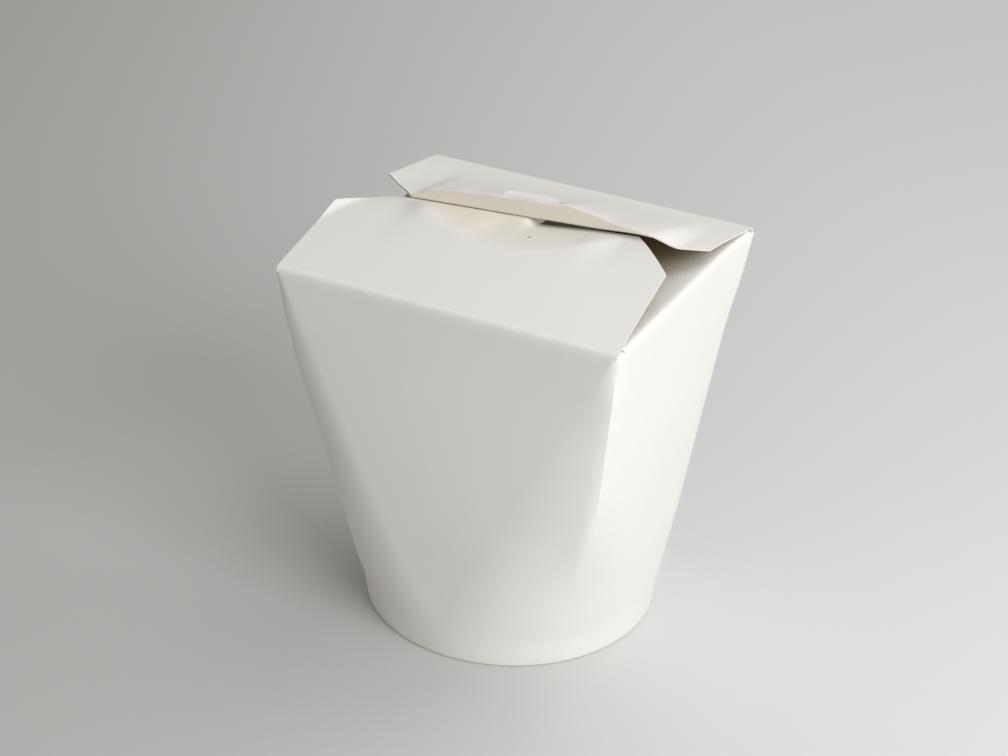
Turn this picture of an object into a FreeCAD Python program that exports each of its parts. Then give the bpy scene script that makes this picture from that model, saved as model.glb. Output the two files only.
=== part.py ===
import FreeCAD, Part
import math
import os

import Sketcher
from FreeCAD import Vector

# A round-foot paperboard food box, closed. Millimetres, +Z up, front towards -Y.
# The origin is on the table, under the middle of the foot.

# Name, value and meaning of every size that can be set by itself.
SIZES = [
    # The wall: round at the foot, rectangular at the mouth.
    ("mouth_width", 98.8, "mouth, left to right, over the board"),
    ("mouth_depth", 85.6, "mouth, front to back, over the board"),
    ("fold_height", 108.0, "table to the top of the lid's folds"),
    ("foot_diameter", 83.0, "foot, where it stands on the table"),
    ("board", 0.45, "thickness of the board"),
    ("corner_radius", 2.0, "outside of the wall's upright folds, at the mouth"),
    ("foot_height", 8.0, "round ring at the foot, below the change of shape"),
    ("foot_lean", 2.0, "lean of that ring, degrees"),
    ("foot_flat", 0.2, "half of the short flat under the middle of each side"),
    ("seam_width", 9.0, "width of the glued seam at the mouth"),
    ("seam_inset", 4.0, "seam to the rear left corner"),
    ("seam_drop", 1.5, "top of the seam's outer layer below the fold"),
    # The base: a round of board with a skirt, held by the wall's hem.
    ("base_rise", 6.6, "table to the underside of the base"),
    ("hem_height", 5.6, "height of the hem turned up inside the foot"),
    ("layer_gap", 0.08, "gap between layers that are pressed together"),
    ("base_bend", 0.35, "bevel where the base turns into its skirt"),
    # The lid's folds.
    ("fold_radius", 1.6, "outside of the front and rear folds"),
    ("side_fold_radius", 1.4, "outside of the side flaps' folds"),
    ("hinge_gap", 0.1, "wall to the rear flap's fold"),
    ("flap_inset", 0.9, "corner of the mouth to the end of a lid fold"),
    # The lock: the line where the tongue comes up through the rear flap.
    ("lock_setback", 10.4, "middle of the mouth to the slit's front edge"),
    ("front_edge_setback", 4.4, "front flap's free edge to the lock line"),
    ("rear_edge_setback", 6.4, "rear flap's free edge to the lock line"),
    ("lock_shift", -2.8, "lock to the middle of the mouth, sideways"),
    ("tongue_rise", 0.8, "more rise of the tongue towards its tip"),
    ("tongue_step", 0.15, "tongue's root below the face of the front flap"),
    ("tongue_neck", 10.0, "tongue, across its neck"),
    ("tongue_head", 19.0, "tongue, across its shoulders"),
    ("tongue_tip", 8.6, "tongue, across its tip"),
    ("tongue_reach", 4.2, "shoulders to the tip"),
    ("lock_play", 0.4, "air round the tongue in the slit"),
    # The front flap.
    ("front_slope", 0.25, "rise of the flap beside its fold, mm per mm"),
    ("front_drop", 6.6, "how far its free edge bends back down"),
    ("front_tilt", 0.075, "more of that drop to the left, mm per mm"),
    ("front_dent", 1.1, "dent beside the tongue"),
    ("front_dent_width", 14.0, "spread of the dent, sideways"),
    ("front_side_left", 30.2, "left side edge, fold to the corner cut"),
    ("front_side_right", 32.7, "right side edge, fold to the corner cut"),
    ("front_cut", 15.0, "corner cut, sideways"),
    ("front_lean_left", 0.9, "left side edge, outwards at the corner cut"),
    ("front_lean_right", 1.8, "right side edge, inwards at the corner cut"),
    # The rear flap.
    ("rear_slope", 0.16, "rise of the flap at its two sides, mm per mm"),
    ("rear_bow", 0.165, "more rise where the tongue lifts it"),
    ("rear_bow_middle", 10.0, "middle of the bow, sideways"),
    ("rear_bow_width", 25.0, "spread of the bow, sideways"),
    ("strip_edge", 7.0, "height of the bent-down strip's edge over the fold"),
    ("strip_tilt", 0.068, "more of that height to the right, mm per mm"),
    ("strip_slope", 0.42, "fall of the strip, mm per mm"),
    ("ridge_round", 0.35, "softness of the bend above the strip"),
    ("rear_side", 28.3, "side edge, fold to the corner cut"),
    ("rear_cut", 13.0, "corner cut, sideways"),
    # The two side flaps, folded in under the lid.
    ("side_reach", 37.0, "side flap, fold to free edge"),
    ("side_slope", 0.24, "fall of the side flap, mm per mm"),
    ("side_inset", 5.0, "corner of the mouth to the side flap"),
    ("side_cut", 13.0, "corner cut of the side flap"),
]

GRID_ACROSS = 17
GRID_ALONG = 15

doc = FreeCAD.newDocument("food_box")
sheet = doc.addObject("Spreadsheet::Sheet", "sizes")
for row, (alias, value, meaning) in enumerate(SIZES, start=1):
    sheet.set("A%d" % row, meaning)
    sheet.set("B%d" % row, str(value))
    sheet.setAlias("B%d" % row, alias)
doc.recompute()


def size(alias):
    return float(sheet.get(alias))


board = size("board")
half_width = size("mouth_width") / 2
half_depth = size("mouth_depth") / 2
fold_radius = size("fold_radius")
# The wall stops where the lid's folds begin.
wall_top = size("fold_height") - fold_radius
foot_radius = size("foot_diameter") / 2
lean = math.tan(math.radians(size("foot_lean")))
ring_radius = foot_radius + size("foot_height") * lean
lock_line = size("lock_setback")
lock_shift = size("lock_shift")
front_edge = lock_line - size("front_edge_setback")
rear_edge = lock_line - size("rear_edge_setback")


# Sketches and features of the bodies.

def origin_plane(body, role):
    for feature in body.Origin.OriginFeatures:
        if feature.Role == role:
            return feature
    raise ValueError(role)


def attached_sketch(body, name, role, height=None):
    """A sketch on one of the body's own planes, lifted by an expression."""
    sketch = body.newObject("Sketcher::SketchObject", name)
    sketch.AttachmentSupport = [(origin_plane(body, role), "")]
    sketch.MapMode = "FlatFace"
    if height:
        sketch.setExpression("AttachmentOffset.Base.z", height)
    return sketch


def name_and_bind(sketch, constraint, name, expression):
    index = sketch.addConstraint(constraint)
    sketch.renameConstraint(index, name)
    sketch.setExpression("Constraints." + name, expression)


def rounded_rectangle(sketch, half_x, half_y, radius, bindings):
    """Four lines and four arcs, counter-clockwise from the front."""
    flat_x = half_x - radius
    flat_y = half_y - radius
    up = Vector(0, 0, 1)
    quarter = math.pi / 2
    lines = [
        (Vector(-flat_x, -half_y), Vector(flat_x, -half_y)),
        (Vector(half_x, -flat_y), Vector(half_x, flat_y)),
        (Vector(flat_x, half_y), Vector(-flat_x, half_y)),
        (Vector(-half_x, flat_y), Vector(-half_x, -flat_y)),
    ]
    centres = [
        Vector(flat_x, -flat_y),
        Vector(flat_x, flat_y),
        Vector(-flat_x, flat_y),
        Vector(-flat_x, -flat_y),
    ]
    for side in range(4):
        start = (side - 1) * quarter
        circle = Part.Circle(centres[side], up, radius)
        sketch.addGeometry(Part.LineSegment(*lines[side]))
        sketch.addGeometry(Part.ArcOfCircle(circle, start, start + quarter))
    for side in range(4):
        line = 2 * side
        arc = line + 1
        following = (line + 2) % 8
        sketch.addConstraint(Sketcher.Constraint("Tangent", line, 2, arc, 1))
        sketch.addConstraint(Sketcher.Constraint("Tangent", arc, 2, following, 1))
        way = "Horizontal" if side % 2 == 0 else "Vertical"
        sketch.addConstraint(Sketcher.Constraint(way, line))
        if side:
            sketch.addConstraint(Sketcher.Constraint("Equal", 1, arc))
    half_x_value, half_y_value, radius_value = bindings
    rules = [
        (Sketcher.Constraint("Radius", 1, radius), "corner", radius_value),
        (Sketcher.Constraint("DistanceX", -1, 1, 2, 1, half_x), "right", half_x_value),
        (Sketcher.Constraint("DistanceX", 6, 1, -1, 1, half_x), "left", half_x_value),
        (Sketcher.Constraint("DistanceY", -1, 1, 4, 1, half_y), "rear", half_y_value),
        (Sketcher.Constraint("DistanceY", 0, 1, -1, 1, half_y), "front", half_y_value),
    ]
    for constraint, name, value in rules:
        name_and_bind(sketch, constraint, name, value)


RING = "(sizes.foot_diameter / 2 + sizes.foot_height * tan(sizes.foot_lean * 1 deg))"
WALL_TOP = "sizes.fold_height - sizes.fold_radius"


def wall_sections(body, name, inward):
    """The wall's round section and its rectangular one, moved in by a distance."""
    step = size("board") * inward
    step_text = " - sizes.board * %d" % inward
    low = attached_sketch(body, name + "_foot", "XY_Plane", "sizes.foot_height")
    rounded_rectangle(
        low,
        ring_radius - step,
        ring_radius - step,
        ring_radius - step - size("foot_flat"),
        (RING + step_text, RING + step_text, RING + step_text + " - sizes.foot_flat"),
    )
    high = attached_sketch(body, name + "_mouth", "XY_Plane", WALL_TOP)
    rounded_rectangle(
        high,
        half_width - step,
        half_depth - step,
        size("corner_radius") - step,
        (
            "sizes.mouth_width / 2" + step_text,
            "sizes.mouth_depth / 2" + step_text,
            "sizes.corner_radius" + step_text,
        ),
    )
    return low, high


def loft(body, kind, name, sections):
    feature = body.newObject(kind, name)
    feature.Profile = sections[0]
    feature.Sections = [sections[1]]
    feature.Ruled = True
    return feature


def revolved(body, name, corners):
    """A closed profile in the XZ plane, turned once round the Z axis."""
    sketch = attached_sketch(body, name + "_profile", "XZ_Plane")
    count = len(corners)
    for index in range(count):
        start = Vector(*corners[index][0])
        end = Vector(*corners[(index + 1) % count][0])
        sketch.addGeometry(Part.LineSegment(start, end))
    for index in range(count):
        following = (index + 1) % count
        sketch.addConstraint(Sketcher.Constraint("Coincident", index, 2, following, 1))
    for index, ((across, up), across_value, up_value) in enumerate(corners):
        if across == 0:
            sketch.addConstraint(Sketcher.Constraint("PointOnObject", index, 1, -2))
        else:
            rule = Sketcher.Constraint("DistanceX", -1, 1, index, 1, across)
            name_and_bind(sketch, rule, "across%d" % index, across_value)
        if up == 0:
            sketch.addConstraint(Sketcher.Constraint("PointOnObject", index, 1, -1))
        else:
            rule = Sketcher.Constraint("DistanceY", -1, 1, index, 1, up)
            name_and_bind(sketch, rule, "up%d" % index, up_value)
    feature = body.newObject("PartDesign::Revolution", name)
    feature.Profile = sketch
    feature.ReferenceAxis = (sketch, ["V_Axis"])
    feature.Angle = 360
    return feature


# The wall, its hem and the base.

LEAN = "tan(sizes.foot_lean * 1 deg)"
GAP = size("layer_gap")


def ring_corner(inward, inward_text, up, up_text):
    """A corner of the leaning foot: distance in from the outer face, and height."""
    across = foot_radius - inward + up * lean
    across_text = "sizes.foot_diameter / 2 - (%s) + (%s) * %s" % (inward_text, up_text, LEAN)
    return (across, up), across_text, up_text


wall = doc.addObject("PartDesign::Body", "wall")
loft(wall, "PartDesign::AdditiveLoft", "wall_outside", wall_sections(wall, "outside", 0))
doc.recompute()
solid_volume = wall.Shape.Volume
loft(wall, "PartDesign::SubtractiveLoft", "wall_inside", wall_sections(wall, "inside", 1))
doc.recompute()
assert wall.Shape.Volume < 0.1 * solid_volume

# The foot ring and the hem are one strip of board turned up inside.
HEM_OUT = "2 * sizes.board + 2 * sizes.layer_gap"
HEM_IN = "3 * sizes.board + 2 * sizes.layer_gap"
hem_out = 2 * board + 2 * GAP
hem_in = 3 * board + 2 * GAP
revolved(wall, "foot_ring", [
    ring_corner(0, "0", 0, "0"),
    ring_corner(0, "0", size("foot_height"), "sizes.foot_height"),
    ring_corner(board, "sizes.board", size("foot_height"), "sizes.foot_height"),
    ring_corner(board, "sizes.board", board, "sizes.board"),
    ring_corner(hem_out, HEM_OUT, board, "sizes.board"),
    ring_corner(hem_out, HEM_OUT, size("hem_height"), "sizes.hem_height"),
    ring_corner(hem_in, HEM_IN, size("hem_height"), "sizes.hem_height"),
    ring_corner(hem_in, HEM_IN, 0, "0"),
])

# The base lies on the top of its skirt, which stands in the hem.
base = doc.addObject("PartDesign::Body", "base_disc")
base.Label = "base_disc"
SKIRT_OUT = "sizes.board + sizes.layer_gap"
SKIRT_IN = "2 * sizes.board + sizes.layer_gap"
BASE_TOP = "sizes.base_rise + sizes.board"
base_top = size("base_rise") + board
bevel = size("base_bend")
revolved(base, "base_and_skirt", [
    ((0, base_top), "", BASE_TOP),
    ring_corner(board + GAP + bevel, SKIRT_OUT + " + sizes.base_bend", base_top, BASE_TOP),
    ring_corner(board + GAP, SKIRT_OUT, base_top - bevel, BASE_TOP + " - sizes.base_bend"),
    ring_corner(board + GAP, SKIRT_OUT, board + GAP, "sizes.board + sizes.layer_gap"),
    ring_corner(2 * board + GAP, SKIRT_IN, board + GAP, "sizes.board + sizes.layer_gap"),
    ring_corner(2 * board + GAP, SKIRT_IN, size("base_rise"), "sizes.base_rise"),
    ((0, size("base_rise")), "", "sizes.base_rise"),
])
doc.recompute()


# Height of the lid's surfaces over the fold line.

def bump(distance, spread, power=2):
    return math.exp(-abs(distance / spread) ** power)


def front_height(x, y):
    """Top face of the front flap: it rises, then its free edge bends back down."""
    start = -half_depth + fold_radius
    along = (y - start) / (front_edge - start)
    rise = size("front_slope") * (y - start)
    drop = size("front_drop") - size("front_tilt") * x
    drop += size("front_dent") * bump(x, size("front_dent_width"))
    return size("fold_height") + rise - drop * max(along, 0) ** 4


def rear_height(x, y):
    """Top face of the rear flap: a bowed sheet, then a strip bent down at the front."""
    start = half_depth - fold_radius
    slope = size("rear_slope")
    along = min(max(start - y, 0) / (start - lock_line), 1)
    bow = bump(x - size("rear_bow_middle"), size("rear_bow_width"), 4)
    slope += size("rear_bow") * bow * along * (2 - along)
    sheet_rise = slope * (start - y)
    strip_rise = size("strip_edge") + size("strip_tilt") * x
    strip_rise += size("strip_slope") * (y - rear_edge)
    apart = sheet_rise - strip_rise
    soft = size("ridge_round")
    lower = (sheet_rise + strip_rise - math.sqrt(apart * apart + soft * soft)) / 2
    return size("fold_height") + lower


def smooth_step(value):
    value = min(max(value, 0.0), 1.0)
    return value * value * (3 - 2 * value)


PASS_BOARDS = 2.2
PASS_PLAYS = 3


def tongue_height(x, y):
    """Top face of the tongue: under the strip, up through the slit, over the rear flap."""
    below = -(board + size("lock_play"))
    above = board + size("lock_play")
    slit_front = lock_line
    leave = smooth_step((y - front_edge) / (slit_front - front_edge))
    root = front_height(x, y) - size("tongue_step")
    pass_length = PASS_BOARDS * board + PASS_PLAYS * size("lock_play")
    pass_through = smooth_step((y - slit_front) / pass_length)
    lift = below + (above - below) * pass_through
    lift += size("tongue_rise") * smooth_step((y - slit_front) / size("tongue_reach"))
    return (1 - leave) * root + leave * (rear_height(x, y) + lift)


# Sheets of board.

def sheet_solid(height, outline, margin=1.0):
    """Board whose top face follows height(x, y), cut to an outline seen from above."""
    low_x = min(point[0] for point in outline) - margin
    high_x = max(point[0] for point in outline) + margin
    low_y = min(point[1] for point in outline) - margin
    high_y = max(point[1] for point in outline) + margin
    rows = []
    for i in range(GRID_ACROSS):
        x = low_x + (high_x - low_x) * i / (GRID_ACROSS - 1)
        row = []
        for j in range(GRID_ALONG):
            y = low_y + (high_y - low_y) * j / (GRID_ALONG - 1)
            row.append(Vector(x, y, height(x, y)))
        rows.append(row)
    surface = Part.BSplineSurface()
    surface.interpolate(rows)
    slab = surface.toShape().extrude(Vector(0, 0, -board))
    return slab.common(prism(outline))


def prism(outline):
    """An upright block over an outline, from the table to well above the lid."""
    points = [Vector(x, y, 0) for x, y in outline]
    face = Part.Face(Part.makePolygon(points + points[:1]))
    return face.extrude(Vector(0, 0, 2 * size("fold_height")))


def fold_band(radius, turn, length):
    """A strip bent round the X axis: from upright at y = -radius, over by an angle."""
    inside = radius - board

    def at(distance, angle):
        return Vector(-length / 2, -distance * math.cos(angle), distance * math.sin(angle))

    outer = Part.Arc(at(radius, 0), at(radius, turn / 2), at(radius, turn))
    inner = Part.Arc(at(inside, turn), at(inside, turn / 2), at(inside, 0))
    end = Part.LineSegment(at(radius, turn), at(inside, turn))
    foot = Part.LineSegment(at(inside, 0), at(radius, 0))
    wire = Part.Wire([outer.toShape(), end.toShape(), inner.toShape(), foot.toShape()])
    return Part.Face(wire).extrude(Vector(length, 0, 0))


def placed(shape, angle, where):
    """A copy turned round the Z axis, then moved."""
    copy = shape.copy()
    copy.rotate(Vector(0, 0, 0), Vector(0, 0, 1), angle)
    copy.translate(where)
    return copy


def feature(name, shape):
    result = doc.addObject("Part::Feature", name)
    result.Label = name
    result.Shape = shape
    return result


# The front flap with its tongue.

fold_half = half_width - size("flap_inset")
front_start = -half_depth + fold_radius
front_left_cut = -half_depth + size("front_side_left")
front_right_cut = -half_depth + size("front_side_right")
front_left = -fold_half - size("front_lean_left")
front_right = fold_half - size("front_lean_right")
front_outline = [
    (-fold_half, front_start),
    (fold_half, front_start),
    (front_right, front_right_cut),
    (front_right - size("front_cut"), front_edge),
    (front_left + size("front_cut"), front_edge),
    (front_left, front_left_cut),
]
shoulder_line = lock_line + size("lock_play")
tip_line = shoulder_line + size("tongue_reach")
ROOT_BOARDS = 2.0
NECK_LENGTH = 1.0
root_line = front_edge - ROOT_BOARDS * board
neck_end = front_edge + NECK_LENGTH
tongue_outline = [
    (lock_shift - size("tongue_neck") / 2, root_line),
    (lock_shift + size("tongue_neck") / 2, root_line),
    (lock_shift + size("tongue_neck") / 2, neck_end),
    (lock_shift + size("tongue_head") / 2, shoulder_line),
    (lock_shift + size("tongue_tip") / 2, tip_line),
    (lock_shift - size("tongue_tip") / 2, tip_line),
    (lock_shift - size("tongue_head") / 2, shoulder_line),
    (lock_shift - size("tongue_neck") / 2, neck_end),
]
front_band = fold_band(fold_radius, math.pi / 2, 2 * fold_half)
front_band = placed(front_band, 0, Vector(0, front_start, wall_top))
front_sheet = sheet_solid(front_height, front_outline)
tongue_sheet = sheet_solid(tongue_height, tongue_outline)
front_flap = feature("front_flap", front_sheet.fuse([front_band, tongue_sheet]))

# The two side flaps.

side_radius = size("side_fold_radius")
side_start = half_width - side_radius
side_half = half_depth - size("side_inset")
side_end = half_width - size("side_reach")


def side_height(x, y):
    """Top face of the right side flap: it falls away from its fold."""
    along = side_start - x
    return wall_top + side_radius - size("side_slope") * max(along, 0) ** 2 / (abs(along) + 2)


side_outline = [
    (side_start, -side_half),
    (side_start, side_half),
    (side_end + size("side_cut"), side_half),
    (side_end, side_half - size("side_cut")),
    (side_end, -side_half + size("side_cut")),
    (side_end + size("side_cut"), -side_half),
]
side_sheet = sheet_solid(side_height, side_outline, margin=0.5)
side_band = fold_band(side_radius, math.pi / 2, 2 * side_half)
side_band = placed(side_band, 90, Vector(side_start, 0, wall_top))
right_flap = feature("right_side_flap", side_sheet.fuse(side_band))
left_flap = feature("left_side_flap", placed(right_flap.Shape, 180, Vector(0, 0, 0)))

# The glued seam: a second layer of board on the outside, at the rear left.

outer = [wall.getObject("outside_foot"), wall.getObject("outside_mouth")]


def offset_section(sketch, distance):
    return sketch.Shape.makeOffset2D(distance)


seam_loft = Part.makeLoft([offset_section(sketch, board) for sketch in outer], True, True)
wall_plug = Part.makeLoft([offset_section(sketch, -board / 2) for sketch in outer], True, True)
seam_right = -half_width + size("seam_inset") + size("seam_width")
seam_left = -half_width + size("seam_inset")
lower = ring_radius / half_width
seam_block = Part.makeLoft([
    Part.makePolygon([
        Vector(x * scale, y, z) for x, y in (
            (seam_left, 0), (seam_right, 0), (seam_right, 2 * half_depth),
            (seam_left, 2 * half_depth), (seam_left, 0))
    ])
    for scale, z in ((lower, size("foot_height") + board), (1.0, wall_top - size("seam_drop")))
], True, True)
seam = feature("seam", seam_loft.cut(wall_plug).common(seam_block))

blank = doc.addObject("Part::MultiFuse", "box_blank")
blank.Label = "box_blank"
blank.Shapes = [wall, front_flap, right_flap, left_flap, seam]

# The rear flap, with the slit for the tongue.

rear_start = half_depth - fold_radius
rear_cut_line = half_depth - size("rear_side")
rear_outline = [
    (-fold_half, rear_start),
    (-fold_half, rear_cut_line),
    (-fold_half + size("rear_cut"), rear_edge),
    (fold_half - size("rear_cut"), rear_edge),
    (fold_half, rear_cut_line),
    (fold_half, rear_start),
]
slit_rear = tip_line + size("lock_play")
slit_half = size("tongue_head") / 2 + size("lock_play")
slit_outline = [
    (lock_shift - slit_half, lock_line),
    (lock_shift + slit_half, lock_line),
    (lock_shift + slit_half, slit_rear),
    (lock_shift - slit_half, slit_rear),
]
rear_band = fold_band(fold_radius, math.pi / 2, 2 * fold_half)
rear_band = placed(rear_band, 180, Vector(0, rear_start, wall_top))
trim = Part.makeBox(
    4 * half_width, 4 * half_depth, size("hinge_gap"),
    Vector(-2 * half_width, -2 * half_depth, wall_top),
)
rear_sheet = sheet_solid(rear_height, rear_outline).cut(prism(slit_outline))
rear_flap = feature("rear_lid_flap", rear_sheet.fuse(rear_band).cut(trim))

doc.recompute()

# Nothing is written unless every object is sound.
for item in doc.Objects:
    if "Invalid" in item.State or "Error" in item.State:
        raise RuntimeError("%s is %s" % (item.Label, item.State))
nodes = [blank, base, rear_flap]
os.makedirs("parts", exist_ok=True)
for node in nodes:
    shape = node.Shape
    if shape.isNull() or not shape.isValid() or len(shape.Solids) != 1:
        raise RuntimeError("%s: %d solids" % (node.Label, len(shape.Solids)))
    box = shape.BoundBox
    print(node.Label, "volume", round(shape.Volume, 1), "box", box)
for node in nodes:
    node.Shape.exportStep("parts/%s.step" % node.Label)
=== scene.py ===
# %% [markdown]
# # A paperboard food box, closed
# The box is one blank of white coated board. It is folded round a small base disc, so
# that it is a circle at the foot and a rectangle at the mouth. Four flaps close it: two
# at the sides go in first, then the front one with a tongue, then the rear one, whose
# slit catches the tongue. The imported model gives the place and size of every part, and
# this script builds the visible board around it, in metres and in the same frame.

# %% Load the fixed frame
import math

import bmesh
import bpy
from mathutils import Matrix, Vector


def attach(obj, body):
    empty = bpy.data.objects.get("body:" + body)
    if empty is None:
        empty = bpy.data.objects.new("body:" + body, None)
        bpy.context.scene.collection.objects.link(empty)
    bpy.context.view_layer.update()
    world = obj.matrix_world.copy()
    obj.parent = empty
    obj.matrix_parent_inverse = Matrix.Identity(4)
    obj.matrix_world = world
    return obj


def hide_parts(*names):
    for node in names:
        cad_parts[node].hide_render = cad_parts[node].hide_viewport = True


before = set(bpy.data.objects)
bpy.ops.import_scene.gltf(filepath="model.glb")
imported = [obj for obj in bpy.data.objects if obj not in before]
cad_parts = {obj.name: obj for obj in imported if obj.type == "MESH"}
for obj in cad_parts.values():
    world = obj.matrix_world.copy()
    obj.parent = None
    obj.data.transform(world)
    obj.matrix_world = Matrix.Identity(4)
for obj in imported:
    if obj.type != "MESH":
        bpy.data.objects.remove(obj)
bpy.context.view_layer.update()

# %% [markdown]
# ## Sizes of the blank
# A box maker measures in millimetres, so every size below is in millimetres and is
# turned into metres once, when a point becomes a vertex. The board is under half a
# millimetre thick. The wall leans out from the foot to the mouth, and its corners
# change from large rounds at the foot to folds at the mouth.

# %% Sizes of the blank
MM = 0.001
BOARD = 0.45
HALF_WIDTH = 49.4
HALF_DEPTH = 42.8
FOLD_HEIGHT = 108.0
FOLD_RADIUS = 1.6
SIDE_FOLD_RADIUS = 1.4
WALL_TOP = FOLD_HEIGHT - FOLD_RADIUS
CORNER_RADIUS = 2.0
FOOT_RADIUS = 41.5
FOOT_HEIGHT = 8.0
FOOT_LEAN = math.tan(math.radians(2.0))
HEM_HEIGHT = 5.6
HEM_LAYERS = 3
LAYER_GAP = 0.08
FOOT_TOP_RADIUS = FOOT_RADIUS + FOOT_HEIGHT * FOOT_LEAN
print("wall from", FOOT_HEIGHT, "to", WALL_TOP, "mm")
print("mouth", 2 * HALF_WIDTH, "by", 2 * HALF_DEPTH, "mm")


def mix(start, end, share):
    return start + (end - start) * share


def smooth_step(value):
    value = min(max(value, 0.0), 1.0)
    return value * value * (3 - 2 * value)


def bump(distance, spread):
    """1 where the distance is 0, falling to nothing beyond the spread."""
    return math.exp(-(distance / spread) ** 2)


def read_curve(curve, place):
    """A value between measured points of a curve, with rounded steps."""
    if place <= curve[0][0]:
        return curve[0][1]
    for (start, low), (end, high) in zip(curve, curve[1:]):
        if place <= end:
            share = (place - start) / (end - start)
            return mix(low, high, (share + smooth_step(share)) / 2)
    return curve[-1][1]


# %% [markdown]
# ## The wall
# The real wall is flat at the top, where the scored corners hold it, and round at the
# foot. One grid does both: every level is a rounded rectangle, and a vertex is a
# distance walked round it. Near the mouth the columns crowd into the narrow corner
# folds, and near the foot they spread evenly, so that both have the points they need.

# %% The outline of the wall at one level
CORNER_STEPS = 14


def wall_section(height):
    """Half width, half depth and corner radius of the wall at a height."""
    if height <= FOOT_HEIGHT:
        radius = FOOT_RADIUS + height * FOOT_LEAN
        return radius, radius, radius
    share = (height - FOOT_HEIGHT) / (WALL_TOP - FOOT_HEIGHT)
    return (
        mix(FOOT_TOP_RADIUS, HALF_WIDTH, share),
        mix(FOOT_TOP_RADIUS, HALF_DEPTH, share),
        mix(FOOT_TOP_RADIUS, CORNER_RADIUS, share),
    )


def leg_lengths(section):
    """Lengths of the flats and corners, counter-clockwise from the middle of the front."""
    half_x, half_y, radius = section
    flat_x, flat_y, arc = half_x - radius, half_y - radius, radius * math.pi / 2
    return [flat_x, arc, 2 * flat_y, arc, 2 * flat_x, arc, 2 * flat_y, arc, flat_x]


def walk(section, distance):
    """Place, outward direction and leg after walking a distance round the section."""
    half_x, half_y, radius = section
    lengths = leg_lengths(section)
    leg = 0
    while leg < 8 and distance > lengths[leg]:
        distance -= lengths[leg]
        leg += 1
    flat_x, flat_y = half_x - radius, half_y - radius
    if leg % 2:
        facing = (leg // 2 - 1) * math.pi / 2 + distance / radius
        middles = [
            (flat_x, -flat_y), (flat_x, flat_y), (-flat_x, flat_y), (-flat_x, -flat_y)]
        x, y = middles[leg // 2]
        out = (math.cos(facing), math.sin(facing))
        return (x + radius * out[0], y + radius * out[1]), out, leg, distance / lengths[leg]
    along = distance if leg == 0 else distance - lengths[leg] / 2
    if leg == 8:
        along = distance - lengths[leg]
    flats = {
        0: ((along, -half_y), (0, -1)),
        2: ((half_x, along), (1, 0)),
        4: ((-along, half_y), (0, 1)),
        6: ((-half_x, -along), (-1, 0)),
        8: ((along, -half_y), (0, -1)),
    }
    place, out = flats[leg]
    return place, out, leg, 0.0


print("walk round the mouth:", round(sum(leg_lengths(wall_section(WALL_TOP))), 1), "mm")

# %% [markdown]
# ## Columns that the flaps share
# A flap is the same board as the wall below it, so its columns of vertices have to be
# the wall's own. The front flap also needs a column at each side of its tongue, and a
# side flap at each of its ends, so those places are put into the list first.

# %% Columns of the wall
FLAT_X = HALF_WIDTH - CORNER_RADIUS
FLAT_Y = HALF_DEPTH - CORNER_RADIUS
COLUMN_WIDTH = 1.0
LOCK_SHIFT = -2.8
TONGUE_NECK_HALF = 5.0
SIDE_FLAP_HALF = 39.3


def steps_between(stops, width):
    """Evenly spaced places between each pair of stops, all stops kept."""
    places = []
    for start, end in zip(stops, stops[1:]):
        count = max(1, round((end - start) / width))
        places += [mix(start, end, k / count) for k in range(count)]
    return places + [stops[-1]]


front_columns = steps_between(
    [-FLAT_X, LOCK_SHIFT - TONGUE_NECK_HALF, LOCK_SHIFT, 0.0,
     LOCK_SHIFT + TONGUE_NECK_HALF, FLAT_X], COLUMN_WIDTH)
side_columns = steps_between(
    [-FLAT_Y, -SIDE_FLAP_HALF, 0.0, SIDE_FLAP_HALF, FLAT_Y], COLUMN_WIDTH)
rear_columns = steps_between([-FLAT_X, 0.0, FLAT_X], COLUMN_WIDTH)
corner_shares = [k / CORNER_STEPS for k in range(1, CORNER_STEPS)]


def column_shares():
    """Each column as a leg of the mouth and a share of that leg."""
    columns = [(0, x / FLAT_X) for x in front_columns if x >= 0]
    columns += [(1, share) for share in corner_shares]
    columns += [(2, (y + FLAT_Y) / (2 * FLAT_Y)) for y in side_columns]
    columns += [(3, share) for share in corner_shares]
    columns += [(4, (x + FLAT_X) / (2 * FLAT_X)) for x in rear_columns]
    columns += [(5, share) for share in corner_shares]
    columns += [(6, (y + FLAT_Y) / (2 * FLAT_Y)) for y in side_columns]
    columns += [(7, share) for share in corner_shares]
    columns += [(8, (x + FLAT_X) / FLAT_X) for x in front_columns if x < 0]
    return columns + [(8, 1.0)]


wall_columns = column_shares()
print("columns round the wall:", len(wall_columns))

# %% [markdown]
# ## What hands and scoring did to the wall
# The corners are scored near the mouth, and the board keeps a crease there. At the front
# right it is sharp and runs far down, and at the other corners it is faint and ends
# sooner. Filling has swollen the front left and the rear right a little, bowed the
# faces, and a hand has pressed the left rim in and down. All these are small moves of
# the wall's points: a pointed one for a crease, and soft ones for the rest.

# %% Creases and bulges of the wall
# Corner legs 1, 3, 5 and 7 are front right, rear right, rear left and front left.
# Heights: a crease starts at CREASE_TOP, stands out most from CREASE_NECK down to
# CREASE_FULL, and has faded out at CREASE_ENDS.
CREASE_SHARPNESS = {1: 0.27, 3: 0.08, 5: 0.08, 7: 0.12}
CREASE_TOP = 106.0
CREASE_NECK = 92.0
CREASE_FULL = {1: 70.0, 3: 92.0, 5: 92.0, 7: 92.0}
CREASE_ENDS = {1: 20.0, 3: 40.0, 5: 40.0, 7: 48.0}
FRONT_BOW = 1.7
OTHER_BOW = 0.8
BULGE_POWER = 3
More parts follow.
